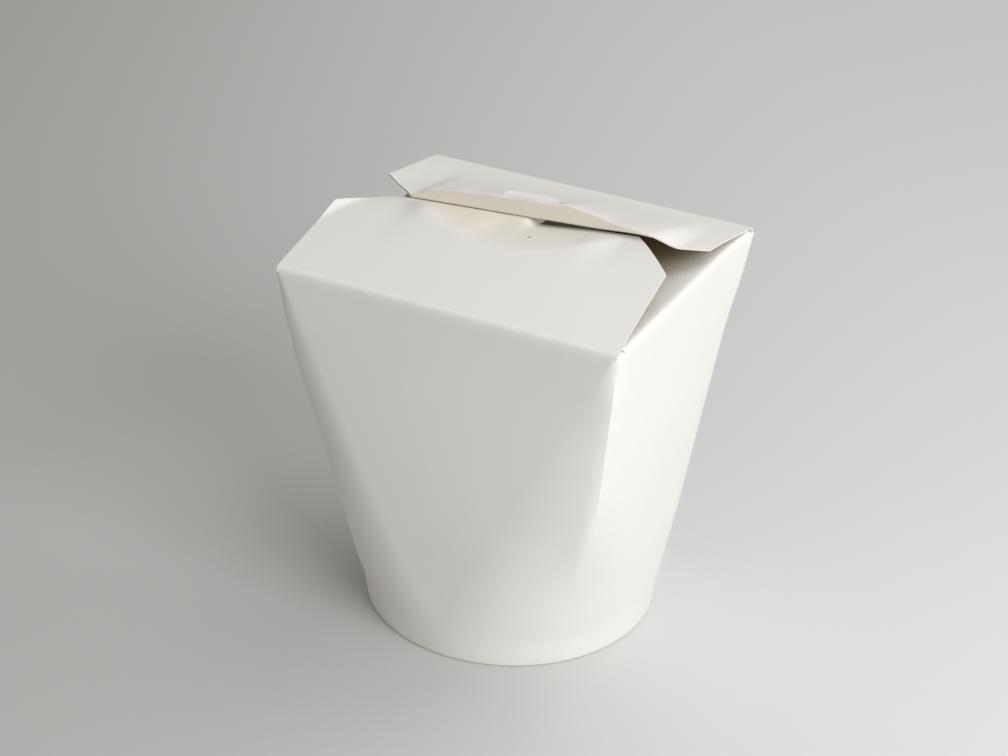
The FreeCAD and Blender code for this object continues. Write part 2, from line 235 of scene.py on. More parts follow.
# Each swelling is the direction it faces and how far it stands out at a height.
BULGES = [
    ((-0.848, -0.530), [
        (FOOT_HEIGHT, 0.6), (14, 1.1), (22, 1.3), (40, 1.3), (60, 1.1), (75, 1.0),
        (90, 0.3), (103, 0.1), (WALL_TOP, 0.0)]),
    ((0.892, 0.452), [(FOOT_HEIGHT, 0.5), (15, 0.8), (30, 0.8), (48, 0.2), (60, 0.0)]),
]
DENT = 3.2
DENT_MIDDLE = 14.0
DENT_SPREAD = 19.0
DENT_FOOT = 62.0
DENT_REACH = 40.0


def crease_push(leg, share, height):
    """How far a scored corner stands out, pointed at its middle."""
    if leg not in CREASE_SHARPNESS:
        return 0.0
    end, full = CREASE_ENDS[leg], CREASE_FULL[leg]
    rise = smooth_step((CREASE_TOP - height) / (CREASE_TOP - CREASE_NECK))
    fade = smooth_step((height - end) / (full - end))
    radius = wall_section(height)[2]
    return CREASE_SHARPNESS[leg] * radius * rise * fade * (1 - abs(2 * share - 1)) ** 2


def panel_push(place, out, height):
    """The slight outward bow of each face between the foot and the mouth."""
    level = (height - FOOT_HEIGHT) / (WALL_TOP - FOOT_HEIGHT)
    if level <= 0 or level >= 1:
        return 0.0
    bow = FRONT_BOW if out[1] < 0 else OTHER_BOW
    across = bow * out[1] ** 2 * max(0.0, 1 - (place[0] / HALF_WIDTH) ** 2)
    along = OTHER_BOW * out[0] ** 2 * max(0.0, 1 - (place[1] / HALF_DEPTH) ** 2)
    return math.sin(math.pi * level) ** 2 * (across + along)


def bulge_push(out, height):
    """The soft swellings of the wall."""
    push = 0.0
    for (toward_x, toward_y), curve in BULGES:
        facing = max(0.0, out[0] * toward_x + out[1] * toward_y)
        push += facing ** BULGE_POWER * read_curve(curve, height)
    return push


def dent_share(y, fade):
    """The pressed rim's share along the side, with a fade of its own."""
    return bump(y - DENT_MIDDLE, DENT_SPREAD) * smooth_step(fade)


def pushed_point(height, distance, raised=0.0):
    """A point at a distance round the wall, on it or on a layer raised above it."""
    place, out, leg, along = walk(wall_section(height), distance)
    push = crease_push(leg, along, height) + panel_push(place, out, height)
    push += bulge_push(out, height) + raised
    dent = DENT * max(0.0, -out[0]) * dent_share(
        place[1], (height - DENT_FOOT) / (WALL_TOP - DENT_FOOT))
    return (place[0] + out[0] * push + dent, place[1] + out[1] * push, height - dent)


def wall_point(height, column):
    """A point of the wall's outside."""
    leg, share = column
    lengths = leg_lengths(wall_section(height))
    mouth = leg_lengths(wall_section(WALL_TOP))
    held = sum(lengths[:leg]) + share * lengths[leg]
    even = (sum(mouth[:leg]) + share * mouth[leg]) / sum(mouth) * sum(lengths)
    level = max(0.0, (height - FOOT_HEIGHT) / (WALL_TOP - FOOT_HEIGHT))
    return pushed_point(height, mix(even, held, level))


print("front right crease stands out", round(crease_push(1, 0.5, CREASE_FULL[1]), 2), "mm")

# %% [markdown]
# ## The foot
# Below the wall is a short round ring. Its board turns under and up again inside, as a
# hem that grips the skirt of the base. The outside skin follows it all the way: down the
# ring, round a half circle at the table, and up the inner face of the hem.

# %% The foot and its hem
TURN_RADIUS = (HEM_LAYERS * BOARD + 2 * LAYER_GAP) / 2
TURN_STEPS = 8
RING_STEPS = 4


def ring_row(radius, height, swell=0.0):
    """A level ring with a point for each column, and a share of the wall's swelling."""
    foot = leg_lengths(wall_section(0))
    mouth = leg_lengths(wall_section(WALL_TOP))
    row = []
    for leg, share in wall_columns:
        distance = (sum(mouth[:leg]) + share * mouth[leg]) / sum(mouth) * sum(foot)
        out = walk(wall_section(0), distance)[1]
        reach = radius + swell * bulge_push(out, FOOT_HEIGHT)
        row.append((reach * out[0], reach * out[1], height))
    return row


def foot_rows():
    """Rows from the top of the hem inside, round under the foot, to the ring's top."""
    rows = []
    hem_radius = FOOT_RADIUS - 2 * TURN_RADIUS
    for k in range(RING_STEPS):
        height = mix(HEM_HEIGHT, TURN_RADIUS, k / RING_STEPS)
        rows.append(ring_row(hem_radius + height * FOOT_LEAN, height))
    middle = FOOT_RADIUS - TURN_RADIUS + TURN_RADIUS * FOOT_LEAN
    for k in range(TURN_STEPS + 1):
        angle = math.pi * (1 - k / TURN_STEPS)
        radius = middle + TURN_RADIUS * math.cos(angle)
        rows.append(ring_row(radius, TURN_RADIUS - TURN_RADIUS * math.sin(angle)))
    for k in range(1, RING_STEPS):
        height = mix(TURN_RADIUS, FOOT_HEIGHT, k / RING_STEPS)
        rows.append(ring_row(FOOT_RADIUS + height * FOOT_LEAN, height, k / RING_STEPS))
    return rows


LEVEL_STEP = 1.9
wall_levels = steps_between([FOOT_HEIGHT, 90.0, 102.0, WALL_TOP], LEVEL_STEP)
wall_rows = foot_rows() + [[wall_point(z, c) for c in wall_columns] for z in wall_levels]
print("rows of the foot and wall:", len(wall_rows))

# %% [markdown]
# ## Grids, cuts and thickness
# Every flap starts as a grid of points and is then cut along straight lines, as the
# cutting die does it. A cut is a bisect of the mesh with an upright plane. The Solidify
# modifier gives the skin the thickness of the board, inwards, so the outside stays where
# the model has it, and it puts the raw board's material on the cut edges.

# %% Grids, cuts and thickness
RAW_EDGE = 1
INNER_SIDE = 2
SHARP_ANGLE = math.radians(28)
CUT_TOLERANCE = 1e-7
WELD_DISTANCE = 2e-6


def lay_rows(mesh, rows):
    """Joins rows of points, in millimetres, into one skin of four-sided faces."""
    laid = [[mesh.verts.new(Vector(point) * MM) for point in row] for row in rows]
    for below, above in zip(laid, laid[1:]):
        for k in range(len(below) - 1):
            mesh.faces.new((below[k], below[k + 1], above[k + 1], above[k]))


def cut_along(mesh, corners):
    """Removes what lies to the right of each stretch of a path, seen from above."""
    for (x, y), (next_x, next_y) in zip(corners, corners[1:]):
        parts = list(mesh.verts) + list(mesh.edges) + list(mesh.faces)
        bmesh.ops.bisect_plane(
            mesh, geom=parts, dist=CUT_TOLERANCE,
            plane_co=Vector((x, y, 0)) * MM,
            plane_no=Vector((next_y - y, x - next_x, 0)).normalized(),
            clear_outer=True)


def add_sheet(target, rows, *paths):
    """A flap: a grid cut along paths, added to the skin that it is part of."""
    sheet = bmesh.new()
    lay_rows(sheet, rows)
    for path in paths:
        cut_along(sheet, path)
    carrier = bpy.data.meshes.new("flap_part")
    sheet.to_mesh(carrier)
    sheet.free()
    target.from_mesh(carrier)
    bpy.data.meshes.remove(carrier)


def board_piece(name, skin, finishes):
    """An object of board from its outside skin."""
    bmesh.ops.remove_doubles(skin, verts=skin.verts, dist=WELD_DISTANCE)
    mesh = bpy.data.meshes.new(name)
    skin.to_mesh(mesh)
    skin.free()
    for finish in finishes:
        mesh.materials.append(finish)
    piece = bpy.data.objects.new(name, mesh)
    bpy.context.scene.collection.objects.link(piece)
    thicken = piece.modifiers.new("board", "SOLIDIFY")
    thicken.thickness = BOARD * MM
    thicken.offset = -1.0
    thicken.use_even_offset = True
    thicken.material_offset = INNER_SIDE
    thicken.material_offset_rim = RAW_EDGE
    bpy.context.view_layer.update()
    view = bpy.context.evaluated_depsgraph_get()
    solid = bpy.data.meshes.new_from_object(piece.evaluated_get(view))
    piece.modifiers.clear()
    piece.data = solid
    solid.shade_smooth()
    solid.set_sharp_from_angle(angle=SHARP_ANGLE)
    print(name, "faces:", len(solid.polygons))
    return piece


# %% [markdown]
# ## Shader maths as expressions
# A material is a small graph of nodes. Written by hand, each sum takes four lines, so a
# wrapper holds a socket and turns Python's operators into Math nodes. Any other node
# comes from one method, which sets the node's options first and then its sockets.

# %% Shader maths as expressions
# Numbers of sockets that share a name with others, or that have none of their own.
OBJECT_PLACE = 3
MIX_SHARE, MIX_FIRST, MIX_SECOND, MIX_COLOUR = 0, 6, 7, 2
VECTOR_VALUE = 1
ATTRIBUTE_VALUE = 2


class Wire:
    """An output socket that can be added, multiplied and compared like a number."""

    def __init__(self, finish, socket):
        self.finish = finish
        self.socket = socket

    def maths(self, operation, first, second):
        return self.finish.node(
            "ShaderNodeMath", {"operation": operation}, {0: first, 1: second})

    def __add__(self, other):
        return self.maths("ADD", self, other)

    __radd__ = __add__

    def __sub__(self, other):
        return self.maths("SUBTRACT", self, other)

    def __mul__(self, other):
        return self.maths("MULTIPLY", self, other)

    def __lt__(self, other):
        return self.maths("LESS_THAN", self, other)


class Finish:
    """A material whose nodes are made one expression at a time."""

    def __init__(self, name):
        self.material = bpy.data.materials.new(name)
        self.material.use_nodes = True
        self.tree = self.material.node_tree
        self.tree.nodes.clear()

    def node(self, kind, settings=None, sockets=None, output=0):
        made = self.tree.nodes.new(kind)
        for key, value in (settings or {}).items():
            setattr(made, key, value)
        for key, value in (sockets or {}).items():
            if isinstance(value, Wire):
                self.tree.links.new(value.socket, made.inputs[key])
            else:
                made.inputs[key].default_value = value
        return Wire(self, made.outputs[output])

    def place(self):
        """The place on the object, in metres."""
        return self.node("ShaderNodeTexCoord", output=OBJECT_PLACE)

    def noise(self, per_metre, detail, roughness=0.5):
        return self.node("ShaderNodeTexNoise", None, {
            "Vector": self.place(), "Scale": per_metre, "Detail": detail,
            "Roughness": roughness})

    def relief(self, height, strength, distance, under=None):
        """A bump of the surface, on top of another one where it is given."""
        sockets = {"Strength": strength, "Distance": distance, "Height": height}
        if under:
            sockets["Normal"] = under
        return self.node("ShaderNodeBump", None, sockets)

    def blend(self, share, first, second):
        """A colour between two others; a share of 0 is the first."""
        return self.node(
            "ShaderNodeMix", {"data_type": "RGBA"},
            {MIX_SHARE: share, MIX_FIRST: first, MIX_SECOND: second}, MIX_COLOUR)

    def vertex_value(self, name):
        """A number that the mesh holds at each vertex; 0 where it has none."""
        return self.node(
            "ShaderNodeAttribute", {"attribute_name": name}, output=ATTRIBUTE_VALUE)

    def close(self, **sockets):
        """Ends the graph in a Principled shader and gives back the material."""
        shader = self.node("ShaderNodeBsdfPrincipled", None, {
            key.replace("_", " "): value for key, value in sockets.items()})
        output = self.tree.nodes.new("ShaderNodeOutputMaterial")
        self.tree.links.new(shader.socket, output.inputs["Surface"])
        return self.material


# %% [markdown]
# ## Coated white board
# The outside is white board with a thin satin film. Three things keep it from looking
# like plastic: a faint cloudiness of the pulp in the colour, a satin gloss that changes
# by a few hundredths, and a very shallow unevenness, one fine from the fibres and one
# wide from handling. The inner side is the same board in a warmer tone. The lid is the
# same board painted lighter, as painted light, and the cut edge is raw pulp. Painted
# shade and painted highlight go into the colour where the mesh's numbers say so.

# %% Coated white board
BOARD_WHITE = (0.865, 0.850, 0.815, 1.0)
BOARD_CLOUD = (0.825, 0.808, 0.770, 1.0)
# The lid's white, painted lighter than the blank's although it is the same board: painted
# light.
LID_PAINTED_LIGHTER_WHITE = (0.90, 0.89, 0.86, 1.0)
LID_PAINTED_LIGHTER_CLOUD = (0.865, 0.85, 0.82, 1.0)
# Painted shade colours: the dimple's warm shade, and the strip's darker warm shade.
BOARD_PAINTED_WARM_SHADE = (0.88, 0.82, 0.70, 1.0)
STRIP_PAINTED_SHADE = (0.76, 0.70, 0.585, 1.0)
# Painted shade colour for the top of a side flap, deep inside the box.
BOARD_PAINTED_DEEP_SHADE = (0.56, 0.45, 0.28, 1.0)
# Painted highlight colour for the folds, tongue and bent corner, in part the film whitened by
# folding.
BOARD_FOLD_WHITE_AND_HIGHLIGHT = (0.92, 0.91, 0.89, 1.0)
INNER_WHITE = (0.79, 0.74, 0.64, 1.0)
INNER_CLOUD = (0.75, 0.70, 0.60, 1.0)
SPECK_BROWN = (0.16, 0.11, 0.07, 1.0)
SPECK_PLACE = (6.1, -6.8, 114.6)
SPECK_RADIUS = 0.00062
SPECK_RAGGED = 0.0003
SPECK_STRENGTH = 0.75
RAW_LIGHT = (0.86, 0.83, 0.76, 1.0)
RAW_DARK = (0.74, 0.70, 0.62, 1.0)
CLOUDS_PER_METRE = 45.0
WAVES_PER_METRE = 38.0
FIBRES_PER_METRE = 2600.0
PULP_PER_METRE = 3800.0
CLOUD_SHARE = 0.55
FIBRE_SHARE = 0.25
CLOUD_OFFSET = 0.1
SATIN_ROUGHNESS = 0.44
SATIN_CHANGE = 0.12
FILM_IOR = 1.46
RAW_ROUGHNESS = 0.75
RAW_CHANGE = 0.15


def coated_board(name, white=BOARD_WHITE, cloud=BOARD_CLOUD, painted_shade=BOARD_PAINTED_WARM_SHADE, speck=None):
    """The film's outside: cloudy and satin, with painted shade and painted highlight where the
    mesh says so.
    """
    finish = Finish(name)
    clouds = finish.noise(CLOUDS_PER_METRE, detail=5.0, roughness=0.6)
    fibres = finish.noise(FIBRES_PER_METRE, detail=3.0, roughness=0.6)
    waves = finish.noise(WAVES_PER_METRE, detail=1.5)
    mottle = clouds * CLOUD_SHARE + fibres * FIBRE_SHARE - CLOUD_OFFSET
    colour = finish.blend(mottle, white, cloud)
    # Painted shade: warm shade on the strip and in the dimple, deeper warm shade inside the
    # side flaps. Painted highlight: folds, tongue and bent corner made whiter, in part the
    # film whitened by folding.
    colour = finish.blend(finish.vertex_value("painted_warm_shade"), colour, painted_shade)
    colour = finish.blend(finish.vertex_value("depth"), colour, BOARD_PAINTED_DEEP_SHADE)
    colour = finish.blend(finish.vertex_value("fold_white_and_highlight"), colour, BOARD_FOLD_WHITE_AND_HIGHLIGHT)
    if speck:
        away = finish.node(
            "ShaderNodeVectorMath", {"operation": "DISTANCE"},
            {0: finish.place(), 1: Vector(speck) * MM}, VECTOR_VALUE)
        inside = away + fibres * SPECK_RAGGED < SPECK_RADIUS
        colour = finish.blend(inside * SPECK_STRENGTH, colour, SPECK_BROWN)
    fine = finish.relief(fibres, strength=0.10, distance=0.00006)
    wide = finish.relief(waves, strength=0.35, distance=0.0010, under=fine)
    return finish.close(
        Base_Color=colour, Roughness=SATIN_ROUGHNESS + clouds * SATIN_CHANGE,
        IOR=FILM_IOR, Normal=wide)


def raw_board(name):
    """The cut edge: uncoated pulp, creamier and matt."""
    finish = Finish(name)
    pulp = finish.noise(PULP_PER_METRE, detail=4.0, roughness=0.7)
    colour = finish.blend(pulp, RAW_LIGHT, RAW_DARK)
    rough = finish.relief(pulp, strength=0.4, distance=0.00008)
    return finish.close(
        Base_Color=colour, Roughness=RAW_ROUGHNESS + pulp * RAW_CHANGE, Normal=rough)


blank_board = coated_board("coated_board", speck=SPECK_PLACE)
# The rear flap's board: its white painted lighter, as painted light, with the strip's painted
# shade.
lid_board_painted_lighter = coated_board(
    "coated_lid_board_painted_lighter", white=LID_PAINTED_LIGHTER_WHITE, cloud=LID_PAINTED_LIGHTER_CLOUD, painted_shade=STRIP_PAINTED_SHADE)
inner_board = coated_board("inner_board", white=INNER_WHITE, cloud=INNER_CLOUD)
cut_edge = raw_board("raw_cut_edge")
print("finishes:", [m.name for m in (blank_board, lid_board_painted_lighter, inner_board, cut_edge)])

# %% [markdown]
# ## The rear flap's form
# The rear flap rises from its fold, more where the tongue lifts it, up to a ridge. In
# front of the ridge a narrow strip is bent down. The lower of the two surfaces, with a
# small radius between them, gives the sheet. Its slopes were measured at places along
# the flap, because handling has left it uneven.

# %% Heights of the rear flap
REAR_START = HALF_DEPTH - FOLD_RADIUS
REAR_EDGE = 4.0
LOCK_LINE = 10.4
LOCK_PLAY = 0.4
REAR_SLOPE = 0.16
REAR_SLOPES = [
    (-48.5, 0.16), (-42, 0.139), (-35.5, 0.14), (-31, 0.184), (-23, 0.218), (-10, 0.257),
    (2, 0.291), (10, 0.318), (16.5, 0.304), (24, 0.282), (30, 0.281), (35.5, 0.266),
    (42, 0.171), (48.5, 0.16)]
STRIP_EDGE = 7.0
STRIP_TILT = 0.068
STRIP_SLOPE = 0.42
STRIP_LIFT = 0.35
STRIP_LIFT_START = 18.0
STRIP_LIFT_WIDTH = 13.0
RIDGE_ROUND = 0.3


def rear_sheet(x, y):
    """The flap behind its ridge, above the fold's height."""
    along = min(max(REAR_START - y, 0.0) / (REAR_START - LOCK_LINE), 1.0)
    more = (read_curve(REAR_SLOPES, x) - REAR_SLOPE) * along * (2 - along)
    return (REAR_SLOPE + more) * (REAR_START - y)


def rear_strip(x, y):
    """The strip before the ridge, above the fold's height."""
    lift = STRIP_LIFT * smooth_step((x - STRIP_LIFT_START) / STRIP_LIFT_WIDTH)
    return STRIP_EDGE + STRIP_TILT * x + lift + STRIP_SLOPE * (y - REAR_EDGE)


def rear_height(x, y):
    """The lower of the two surfaces, rounded where they cross."""
    sheet, strip = rear_sheet(x, y), rear_strip(x, y)
    return FOLD_HEIGHT + (sheet + strip - math.hypot(sheet - strip, RIDGE_ROUND)) / 2


# The rise over the first millimetre is the slope that the fold has to reach.
rear_slope_at_fold = rear_height(0, REAR_START - 1) - FOLD_HEIGHT
print("ridge over the middle:", round(rear_height(0, LOCK_LINE), 1), "mm")

# %% [markdown]
# ## The front flap and its tongue
# The flap bends over from the front wall and rises a little. The lock pulls its free
# edge down inside a curved crease, and left of the tongue it is pressed up against the
# strip. A height over each point of the plan describes it, so the same formula gives
# the flap and where the tongue starts. Its left corner is dog-eared.

# %% Heights of the front flap
FRONT_START = -HALF_DEPTH + FOLD_RADIUS
FRONT_EDGE = 6.0
FRONT_SLOPE = 0.25
FRONT_DROP = 6.6
FRONT_TILT = 0.075
FRONT_POWER = 4
FRONT_DENT = 1.1
FRONT_DENT_WIDTH = 14.0
DIMPLE_MIDDLE = -2.5
DIMPLE_FRONT = -16.2
DIMPLE_CURVE = 0.009
DIMPLE_ARC_POWER = 2.2
DIMPLE_REAR = 1.0
DIMPLE_POWER = 1.3
DIMPLE_SHARE = 0.6
DIMPLE_FADE_MIDDLE = -1.5
DIMPLE_FADE_START = 22.0
DIMPLE_FADE_WIDTH = 10.0
CLOSE_FIT = 0.12
CLOSE_START = 3.2
CLOSE_WIDTH = 3.0
CLOSE_BROAD = -4.0
CLOSE_BROAD_WIDTH = 9.0
CLOSE_BROAD_POWER = 4
CLOSE_NARROW_POWER = 14
EAR_CORNER = (-49.4, -12.6)
EAR_INWARD = (0.947, -0.32)
EAR_SIZE = 3.2
EAR_LIFT = 0.34
TONGUE_RISE = 0.45
TONGUE_TWIST = 0.03
TONGUE_REACH = 4.2
THROUGH_LENGTH = 2.2


def ear_lift(x, y):
    """The bent-up corner of the flap."""
    inward = (Vector((x, y)) - Vector(EAR_CORNER)).dot(Vector(EAR_INWARD))
    return EAR_LIFT * max(0.0, EAR_SIZE - inward)


def dimple_start(x):
    """Where the curved crease runs in front of the free edge."""
    return DIMPLE_FRONT + DIMPLE_CURVE * abs(x - DIMPLE_MIDDLE) ** DIMPLE_ARC_POWER


def inside_dimple(x, y):
    """Share of the way from the curved crease to the free edge."""
    start = min(dimple_start(x), DIMPLE_REAR)
    return max(0.0, y - start) / (FRONT_EDGE - start)


def free_front(x, y):
    """The front flap as the lock pulls it down."""
    along = max((y - FRONT_START) / (FRONT_EDGE - FRONT_START), 0.0) ** FRONT_POWER
    beyond = smooth_step(
        (abs(x - DIMPLE_FADE_MIDDLE) - DIMPLE_FADE_START) / DIMPLE_FADE_WIDTH)
    dimple = inside_dimple(x, y) ** DIMPLE_POWER
    share = mix(mix(along, dimple, DIMPLE_SHARE), along, beyond)
    drop = FRONT_DROP - FRONT_TILT * x + FRONT_DENT * bump(x, FRONT_DENT_WIDTH)
    return FOLD_HEIGHT + FRONT_SLOPE * (y - FRONT_START) - drop * share


def front_height(x, y):
    """The free flap, closed up to the strip on its left, with its bent corner."""
    along = max((y - FRONT_START) / (FRONT_EDGE - FRONT_START), 0.0)
    at_strip = (REAR_EDGE - FRONT_START) / (FRONT_EDGE - FRONT_START)
    missing = rear_height(x, REAR_EDGE) - BOARD - CLOSE_FIT - free_front(x, REAR_EDGE)
    near = smooth_step((CLOSE_START - x) / CLOSE_WIDTH)
    broad = smooth_step((CLOSE_BROAD - x) / CLOSE_BROAD_WIDTH)
    along = min(along / at_strip, 1.0)
    closing = broad * along ** CLOSE_BROAD_POWER
    closing += (near - broad) * along ** CLOSE_NARROW_POWER
    return free_front(x, y) + missing * closing + ear_lift(x, y)


def tongue_height(x, y):
    """Under the strip, up through the slit, and over the rear flap."""
    leave = smooth_step((y - FRONT_EDGE) / (LOCK_LINE - FRONT_EDGE))
    through = smooth_step((y - LOCK_LINE) / THROUGH_LENGTH)
    lift = mix(-BOARD - LOCK_PLAY, BOARD + LOCK_PLAY, through)
    rise = TONGUE_RISE - TONGUE_TWIST * (x - LOCK_SHIFT)
    lift += rise * smooth_step((y - LOCK_LINE) / TONGUE_REACH)
    return mix(front_height(x, y), rear_height(x, y) + lift, leave)


print("front flap's free edge:", round(front_height(LOCK_SHIFT, FRONT_EDGE), 1), "mm")

# %% [markdown]
# ## One skin for the blank
# The wall, the front flap and the side flaps are one piece of board, so they are one
# mesh. The first row of a flap has the same points as the top row of the wall, and
# welding the two makes the fold. A fold is a quarter round of small radius, because
# board cannot turn a true corner.

# %% The front flap in the blank
FOLD_STEPS = 6
FRONT_SIDE_LEFT = (-48.5, FRONT_START)
FRONT_SIDE_RIGHT = (48.5, FRONT_START)
FRONT_RIGHT_CORNER = (46.7, -10.1)
FRONT_RIGHT_END = (31.7, FRONT_EDGE)
FRONT_LEFT_END = (-34.4, FRONT_EDGE)
FRONT_LEFT_CORNER = EAR_CORNER
LEFT_OVERHANG = [-50.6, -50.0, -49.4, -48.8, -48.1]
RIGHT_OVERHANG = [48.3, 49.2]
TONGUE_HEAD_HALF = 9.5
TONGUE_TIP_HALF = 4.3
TONGUE_SPARE = 2.0
TONGUE_SHOULDER = LOCK_LINE + LOCK_PLAY
TONGUE_TIP = TONGUE_SHOULDER + TONGUE_REACH
SHEET_STEP = 0.8
TONGUE_STEP = 0.45


def front_rows():
    """The fold, from upright to the flap's own slope, and then the flap."""
    columns = LEFT_OVERHANG + front_columns + RIGHT_OVERHANG
    turn = math.pi / 2 - math.atan(FRONT_SLOPE)
    rows = []
    for k in range(FOLD_STEPS + 1):
        angle = turn * (k / FOLD_STEPS)
        y = FRONT_START - FOLD_RADIUS * math.cos(angle)
        rows.append([(x, y, WALL_TOP + FOLD_RADIUS * math.sin(angle)) for x in columns])
    for y in steps_between([FRONT_START, FRONT_EDGE], SHEET_STEP):
        rows.append([(x, y, front_height(x, y)) for x in columns])
    return rows


def tongue_rows():
    """The tongue, a little wider than its head before the cut."""
    reach = TONGUE_HEAD_HALF + TONGUE_SPARE
    columns = [x for x in front_columns if abs(x - LOCK_SHIFT) < reach]
    stops = [FRONT_EDGE, LOCK_LINE, TONGUE_SHOULDER, TONGUE_TIP]
    return [
        [(x, y, tongue_height(x, y)) for x in columns]
        for y in steps_between(stops, TONGUE_STEP)]


blank = bmesh.new()
lay_rows(blank, wall_rows)
add_sheet(
    blank, front_rows(),
    [FRONT_SIDE_RIGHT, FRONT_RIGHT_CORNER, FRONT_RIGHT_END],
    [FRONT_LEFT_END, FRONT_LEFT_CORNER, FRONT_SIDE_LEFT])
add_sheet(
    blank, tongue_rows(),
    [(LOCK_SHIFT + TONGUE_NECK_HALF, FRONT_EDGE),
     (LOCK_SHIFT + TONGUE_HEAD_HALF, TONGUE_SHOULDER),
     (LOCK_SHIFT + TONGUE_TIP_HALF, TONGUE_TIP)],
    [(LOCK_SHIFT - TONGUE_TIP_HALF, TONGUE_TIP),
     (LOCK_SHIFT - TONGUE_HEAD_HALF, TONGUE_SHOULDER),
     (LOCK_SHIFT - TONGUE_NECK_HALF, FRONT_EDGE)])
print("skin with the front flap:", len(blank.faces), "faces")

# %% [markdown]
# ## The corners between the folds
# Where two folds of board meet at a corner of the mouth, the board closes in a small
# blunt dome. It is made as the rim's own points, drawn in towards the corner's middle
# while they rise. A few points beside the corner go with it, as the bead that the end of
# a side fold shows.

# %% The corners between the folds
CAP_STEPS = 5
CAP_TURN = math.radians(70)
CAP_HEIGHTS = {1: 0.9, 3: 0.5, 5: 0.5, 7: 0.9}
CAP_OVERLAP = 3.0
CORNER_MIDDLES = {1: (1, -1), 3: (1, 1), 5: (-1, 1), 7: (-1, -1)}


def cap_rows(leg):
    """The small dome that the board makes where two folds meet, and a bead beside it."""
    side_x, side_y = CORNER_MIDDLES[leg]
    shares = [0.0] + corner_shares + [1.0]
    rim = [wall_point(WALL_TOP, (leg, share)) for share in shares]
    beside = [
        (side_x * HALF_WIDTH, side_y * y, WALL_TOP) for y in side_columns
        if FLAT_Y - CAP_OVERLAP < y < FLAT_Y]
    if side_x * side_y < 0:
        rim = rim + beside[::-1]
    else:
        rim = beside + rim
    rows = []
    for k in range(CAP_STEPS + 1):
        angle = CAP_TURN * k / CAP_STEPS
        row = []
        for x, y, z in rim:
            middle_x = side_x * FLAT_X
            middle_y = side_y * min(side_y * y, FLAT_Y)
            row.append((
                mix(middle_x, x, math.cos(angle)), mix(middle_y, y, math.cos(angle)),
                z + CAP_HEIGHTS[leg] * math.sin(angle)))
        rows.append(row)
    return rows


for corner_leg in CAP_HEIGHTS:
    lay_rows(blank, cap_rows(corner_leg))
print("skin with the corners:", len(blank.faces), "faces")

# %% [markdown]
# ## The side flaps
# Two short flaps go in first, below the lid, and fall away from their folds. The left
# one is the right one turned half round the upright axis, with the rim's dent in it.

# %% The side flaps in the blank
SIDE_START = HALF_WIDTH - SIDE_FOLD_RADIUS
SIDE_END = 12.4
SIDE_CUT = 13.0
SIDE_FLAT_HALF = 37.8
SIDE_SPARE = 0.1
SIDE_SLOPE = 0.24
SIDE_EASE = 2.0


def side_height(x):
    """A side flap falls away slowly at first, and then at its slope."""
    along = max(SIDE_START - x, 0.0)
    return WALL_TOP + SIDE_FOLD_RADIUS - SIDE_SLOPE * along ** 2 / (along + SIDE_EASE)


def side_rows():
    """The fold of the right flap, and then the flap."""
    columns = [y for y in side_columns if abs(y) <= SIDE_FLAP_HALF]
    rows = []
    for k in range(FOLD_STEPS + 1):
        angle = math.pi / 2 * k / FOLD_STEPS
        x = SIDE_START + SIDE_FOLD_RADIUS * math.cos(angle)
        rows.append([(x, y, WALL_TOP + SIDE_FOLD_RADIUS * math.sin(angle)) for y in columns])
    for x in steps_between([-SIDE_START, -SIDE_END], SHEET_STEP)[1:]:
        rows.append([(-x, y, side_height(-x)) for y in columns])
    return rows


right_rows = side_rows()
side_path = [
    (HALF_WIDTH, SIDE_FLAP_HALF + SIDE_SPARE),
    (SIDE_END + SIDE_CUT, SIDE_FLAT_HALF), (SIDE_END, SIDE_FLAT_HALF - SIDE_CUT)]
other_path = [(x, -y) for x, y in side_path[::-1]]


def press_left(skin, start):
    """Moves the points of the left flap with the dented rim."""
    for point in skin.verts[start:]:
        x, y, _ = point.co / MM
        dent = DENT * dent_share(y, 1 - (HALF_WIDTH + x) / DENT_REACH)
        point.co += Vector((dent, 0, -dent)) * MM


add_sheet(blank, right_rows, side_path, other_path)
blank.verts.ensure_lookup_table()
left_start = len(blank.verts)
left_rows = [[(-x, -y, z) for x, y, z in row] for row in right_rows]
add_sheet(blank, left_rows, *[[(-x, -y) for x, y in path] for path in (side_path, other_path)])
blank.verts.ensure_lookup_table()
press_left(blank, left_start)
print("skin with all flaps:", len(blank.faces), "faces")

# %% [markdown]
# ## The pushed rim corners
# Handling has pushed two corners of the mouth out of square by about a millimetre. The
# move goes to every point near such a corner, on the wall, the folds and the flaps, so
# that they stay together. The rear flap gets the same move.

# %% The pushed rim corners
RIM_SHIFTS = [
    (Vector((-HALF_WIDTH, -HALF_DEPTH)), Vector((-0.7, -0.3, 0.0))),
    (Vector((HALF_WIDTH, HALF_DEPTH)), Vector((1.2, 0.0, 0.0))),
]
RIM_REACH = 13.0
RIM_FADE = [(78, 0.0), (96, 1.0), (120, 1.0)]


def shift_rim_corners(skin):
    """Moves two corners of the mouth outward, folds and all."""
    for point in skin.verts:
        x, y, z = point.co / MM
        for corner, shift in RIM_SHIFTS:
            near = bump((Vector((x, y)) - corner).length, RIM_REACH)
            point.co += shift * MM * near * read_curve(RIM_FADE, z)


# %% [markdown]
# ## Painted shade and painted highlight on the board
# Painted shade: the strip in front of the ridge and the dimple in the front flap are
# painted a darker, warmer tone where they lie in shade, and the top of each side flap is
# painted darker and warmer the deeper it lies inside. Painted highlight: the ridge, the
# front fold, the tongue and the bent corner are painted whiter, in part the film whitened
# where it is folded. Each is a number that the mesh holds at its vertices and the finish
# reads, so the marks follow the folds exactly.

